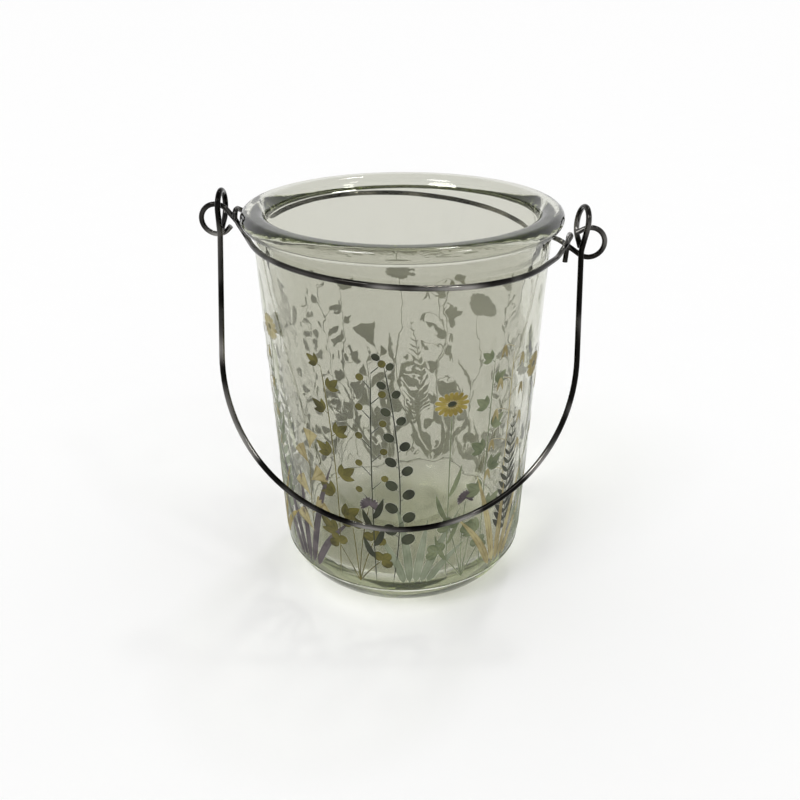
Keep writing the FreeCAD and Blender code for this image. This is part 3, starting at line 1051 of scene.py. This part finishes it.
@dataclass
class PrintedMeadow:
    """The print: plants side by side all round the wall, from just above the heel's mould ridge.

    Its sizes are in millimetres on the unrolled wall.
    """

    jar: GlassJar
    seed: int = 11
    round_radius: float = 38.0
    foot: float = 12.4
    places: int = 39
    place_shift: float = 0.3
    foot_shift: float = 1.2
    most_lean: float = 0.16
    margin: float = 0.05
    ink_lift: float = 0.045
    underlay_lift: float = 0.012
    lift_spread: float = 0.02
    least_width: float = 0.03
    ways: int = 15
    across: int = 5
    plants: Plants = field(default_factory=Plants)
    order: tuple[Plant, ...] = (
        Plant.COIN_BRANCH, Plant.TUFT, Plant.DAISY, Plant.CLOVER, Plant.IVY, Plant.OAT, Plant.FERN,
        Plant.DAISY, Plant.TUFT, Plant.GINKGO, Plant.IVY, Plant.CLOVER, Plant.BERRIES)

    def drawing(self) -> Drawing:
        """All plants, at even steps round the wall with seeded changes of place, height and lean.

        Returns:
            The strokes of each plant with their inks.
        """
        draws = np.random.default_rng(self.seed)
        step = 2 * math.pi * self.round_radius / self.places
        drawing: Drawing = []
        for place in range(self.places):
            kind = self.order[place % len(self.order)].value
            lap = place // len(self.order)
            root = (place + draws.uniform(-self.place_shift, self.place_shift)) * step
            foot = self.foot + draws.uniform(0, self.foot_shift)
            height = draws.uniform(kind.low, kind.high)
            lean = draws.uniform(-self.most_lean, self.most_lean)
            spot = Spot(root, foot, height, lean, kind.inks[lap % len(kind.inks)])
            drawing += kind.draw(self.plants, spot)
        return drawing

    def surface(self, rows: Patches, margin: float, lift: np.ndarray) -> np.ndarray:
        """Strokes laid on the outside of the glass.

        On the unrolled wall a stroke's point is its middle line plus the way across it times its half
        width there, which goes with (way from the base) ** p * (way to the tip) ** q. Rolled up, the way
        round divided by the radius is the angle, and the glass's own radius at that height carries it.

        Args:
            rows: the strokes.
            margin: how far each is widened, in millimetres.
            lift: how far each lies off the glass, in millimetres.
        Returns:
            Points in metres, by stroke, along and across.
        """
        column = {name: rows[name][:, None, None] for name in PATCH.names}
        share = np.linspace(0, 1, self.ways)[None, :, None]
        side = np.linspace(-1, 1, self.across)[None, None, :]
        low, high = column["base_power"], column["tip_power"]
        crest = (low / (low + high)) ** low * (high / (low + high)) ** high
        fullness = np.maximum(share ** low * (1 - share) ** high / crest, self.least_width)
        width = fullness * (column["half_width"] + margin)
        ahead = column["length"] * share + margin * (2 * share - 1)
        aside = column["bend"] * column["length"] * share ** 2 + width * side
        turn = column["angle"]
        s = column["s"] + ahead * np.cos(turn) - aside * np.sin(turn)
        h = (column["h"] + ahead * np.sin(turn) + aside * np.cos(turn)) * MM
        angle = s / self.round_radius
        distance = self.jar.skin_radius(h) + lift[:, None, None] * MM
        return np.stack([distance * np.sin(angle), -distance * np.cos(angle), h + 0 * angle], axis=-1)

    def piece(self, ink: Ink, rows: Patches, margin: float, lift: float, brush: Tree) -> Object:
        """All strokes of one ink as one piece, with the way along and across each as its UV map.

        Args:
            ink: the colour.
            rows: its strokes.
            margin: how far each is widened, in millimetres.
            lift: how far the lowest lies off the glass, in millimetres.
            brush: the watercolour group.
        Returns:
            The piece.
        """
        count = len(rows)
        lifts = lift + self.lift_spread * np.arange(count) / count
        points = self.surface(rows, margin, lifts)
        number = np.arange(count * self.ways * self.across).reshape(count, self.ways, self.across)
        corners = (number[:, :-1, :-1], number[:, 1:, :-1], number[:, 1:, 1:], number[:, :-1, 1:])
        faces = np.stack(corners, axis=-1).reshape(-1, 4)[:, ::-1]
        name = ink.name.lower()
        material = ink.value.material(name, brush)
        piece = make_object(f"print_{name}", points.reshape(-1, 3), faces.tolist(), material)
        _, way, aside = np.meshgrid(np.arange(count), np.linspace(0, 1, self.ways),
                                    np.linspace(0, 1, self.across), indexing="ij")
        stroke = np.stack([way, aside], axis=-1).reshape(-1, 2)
        piece.data.uv_layers.new(name="stroke").data.foreach_set("uv", stroke[faces.ravel()].ravel())
        tone = np.repeat(np.random.default_rng(count).uniform(0, 1, count), self.ways * self.across)
        piece.data.attributes.new("tone", "FLOAT", "POINT").data.foreach_set("value", tone)
        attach(piece, "jar")
        return piece

    def build(self) -> list[Object]:
        """Lays the pale underlay of every stroke, and each ink on it.

        Returns:
            The pieces of the print.
        """
        brush = Watercolour().group()
        drawing = self.drawing()
        everything = np.concatenate([rows for _, rows in drawing])
        pieces = [self.piece(Ink.UNDERLAY, everything, self.margin, self.underlay_lift, brush)]
        for ink in Ink:
            own = [rows for used, rows in drawing if used is ink]
            if own:
                pieces.append(self.piece(ink, np.concatenate(own), 0.0, self.ink_lift, brush))
        return pieces


# Wires

@dataclass(frozen=True)
class Wire:
    """One wire: its solid, the body it moves with, its slot and its finish."""

    node: str
    body: str
    slot: str
    plating: Plating


@dataclass
class BentWires:
    """The neck wire's two halves and the bail, smooth along the solids of the frame."""

    weld: float = 1e-7
    sharp: float = 0.7
    wires: tuple[Wire, ...] = (Wire("neck_wire_front", "jar", "neck_steel", Plating.NECK),
                               Wire("neck_wire_rear", "jar", "neck_steel", Plating.NECK),
                               Wire("bail_handle", "bail", "bail_steel", Plating.BAIL))

    def smooth_copy(self, node: str, metal: Material) -> Object:
        """A welded, smooth-shaded copy of a wire's solid, with its cut ends left sharp.

        Corners that agree to the weld distance become one vertex.

        Args:
            node: name of the solid.
            metal: its finish.
        Returns:
            The wire.
        """
        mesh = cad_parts[node].data
        places = np.zeros(3 * len(mesh.vertices))
        mesh.vertices.foreach_get("co", places)
        corners = np.zeros(len(mesh.loops), dtype=int)
        mesh.loops.foreach_get("vertex_index", corners)
        keys = np.round(places.reshape(-1, 3) / self.weld).astype(int)
        kept, number = np.unique(keys, axis=0, return_inverse=True)
        faces = number.ravel()[corners].reshape(-1, 3)
        apart = np.all(faces != np.roll(faces, -1, axis=1), axis=1)
        wire = make_object(f"{node}_drawn", kept * self.weld, faces[apart].tolist(), metal)
        wire.data.set_sharp_from_angle(angle=self.sharp)
        return wire

    def build(self) -> list[Object]:
        """Dresses the three wires.

        Returns:
            The wires.
        """
        glints_and_wear = WirePaintedGlintsAndWear().group()
        metals = {plating: plating.value.material(glints_and_wear) for plating in Plating}
        pieces = []
        for wire in self.wires:
            piece = self.smooth_copy(wire.node, metals[wire.plating])
            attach(piece, wire.body)
            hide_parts(wire.node)
            pieces.append(piece)
        return pieces


# Studio

@dataclass(frozen=True)
class PaleFloor:
    """Matt, pale floor with a faint cloud in it."""

    tone: float = 0.98
    cloud_fade: float = 0.99
    cloud_scale: float = 30.0
    roughness: float = 0.9
    gloss: float = 0.1

    def material(self) -> Material:
        """The floor's finish.

        Returns:
            The material.
        """
        material, nodes, shader, _ = new_material("pale_floor")
        shade = nodes.mix(nodes.noise(self.cloud_scale), grey(self.tone), grey(self.tone * self.cloud_fade))
        nodes.feed(shader, {"Base Color": shade, "Roughness": self.roughness,
                            "Specular IOR Level": self.gloss})
        return material


@dataclass(frozen=True)
class Lamp:
    """A far, even lamp: light on a surface that faces it, width in degrees, direction from the jar."""

    name: str
    strength: float
    width: float
    towards: tuple[float, float, float]

    def hang(self) -> None:
        """Puts the lamp into the scene, turned so that it shines from its direction."""
        data = bpy.data.lights.new(self.name, "SUN")
        data.energy = self.strength
        data.angle = math.radians(self.width)
        lamp = bpy.data.objects.new(self.name, data)
        lamp.rotation_euler = Vector(self.towards).to_track_quat("Z", "Y").to_euler()
        bpy.context.scene.collection.objects.link(lamp)


@dataclass
class Studio:
    """A pale floor, an even white surround, soft lamps, and the camera."""

    floor_half: float = 30.0
    floor_level: float = -0.00005
    surround: float = 0.68
    ceiling: float = 0.36
    ceiling_span: Pair = (0.25, 0.85)
    lens: float = 36.02
    sensor: float = 36.0
    nearest: float = 0.01
    distance: float = 0.236987
    elevation: float = 27.282
    turn: float = 2.5
    roll: float = -0.239
    aim_height: float = 0.051848
    aim_aside: float = -0.000811
    bounces: int = 64
    coats: int = 40
    lamps: tuple[Lamp, ...] = (Lamp("wide_key", 0.85, 18.0, (-0.5, -0.6, 1.0)),
                               Lamp("top_strip", 0.3, 6.0, (0.2, 0.45, 1.0)),
                               Lamp("side_glint", 0.2, 6.0, (0.7, -0.5, 0.9)))

    def floor(self) -> None:
        """Lays a flat square of floor just under the jar."""
        corners = self.floor_half * np.array([[-1, -1, 0], [1, -1, 0], [1, 1, 0], [-1, 1, 0]])
        corners = corners + (0, 0, self.floor_level)
        floor = make_object("studio_floor", corners, [[0, 1, 2, 3]], PaleFloor().material())

    def world(self) -> None:
        """Surrounds the jar with white, as it is seen directly, in gloss and through glass.

        High above the camera's view that white falls to a grey ceiling. As light, the surround is a
        softer, even level.
        """
        world = bpy.data.worlds.new("white_surround")
        world.use_nodes = True
        world.node_tree.nodes.clear()
        nodes = Nodes(world.node_tree)
        path = nodes.add("ShaderNodeLightPath").outputs
        in_pieces = nodes.math("MAXIMUM", path["Is Glossy Ray"], path["Is Transmission Ray"])
        seen = nodes.math("MAXIMUM", path["Is Camera Ray"], in_pieces)
        sky = nodes.add("ShaderNodeTexCoord").outputs["Generated"]
        height = nodes.add("ShaderNodeSeparateXYZ", {0: sky}).outputs["Z"]
        sweep = nodes.ramp(height, 1.0, self.ceiling, *self.ceiling_span)
        strength = nodes.add("ShaderNodeMix", {0: seen, 2: self.surround, 3: sweep}).outputs[0]
        light = nodes.add("ShaderNodeBackground", {"Color": grey(1.0), "Strength": strength})
        nodes.add("ShaderNodeOutputWorld", {"Surface": light.outputs[0]})
        bpy.context.scene.world = world

    def camera(self) -> None:
        """Sets up the camera at the photograph's viewing angle.

        It stands off its aim point along its elevation and turn, and rolls about its line of sight.
        """
        rise, turn, roll = (math.radians(angle) for angle in (self.elevation, self.turn, self.roll))
        right = Vector((math.cos(turn), math.sin(turn), 0))
        away = Vector((-math.sin(turn), math.cos(turn), 0))
        ahead = away * math.cos(rise) - Vector((0, 0, math.sin(rise)))
        up = right.cross(ahead)
        aim = right * self.aim_aside + Vector((0, 0, self.aim_height))
        rolled_right = right * math.cos(roll) + up * math.sin(roll)
        rolled_up = up * math.cos(roll) - right * math.sin(roll)
        data = bpy.data.cameras.new("photo_camera")
        data.lens = self.lens
        data.sensor_width = self.sensor
        data.clip_start = self.nearest
        camera = bpy.data.objects.new("photo_camera", data)
        axes = Matrix((rolled_right, rolled_up, -ahead)).transposed().to_4x4()
        camera.matrix_world = Matrix.Translation(aim - ahead * self.distance) @ axes
        bpy.context.scene.collection.objects.link(camera)
        bpy.context.scene.camera = camera

    def light_paths(self) -> None:
        """Lets light cross all the glass walls and print coats that lie behind each other."""
        paths = bpy.context.scene.cycles
        paths.max_bounces = self.bounces
        paths.transmission_bounces = self.bounces
        paths.glossy_bounces = self.bounces
        paths.transparent_max_bounces = self.coats

    def build(self) -> None:
        """Sets up the whole studio: floor, surround, lamps, camera, view and light paths."""
        self.floor()
        self.world()
        for lamp in self.lamps:
            lamp.hang()
        self.camera()
        bpy.context.scene.view_settings.view_transform = "Standard"
        self.light_paths()


def main() -> None:
    """Builds the jar, its print, the wires and the studio, and reports each piece."""
    logging.basicConfig(level=logging.INFO)
    jar = GlassJar()
    pieces = [jar.build(GlassWithPaintedShade().material())]
    pieces.append(RidgeHighlightBand(jar).build(PaintedRidgeHighlight().material()))
    pieces += PrintedMeadow(jar).build()
    pieces += BentWires().build()
    for piece in pieces:
        log.info("%s: %d faces", piece.name, len(piece.data.polygons))
    Studio().build()


if __name__ == "__main__":
    main()
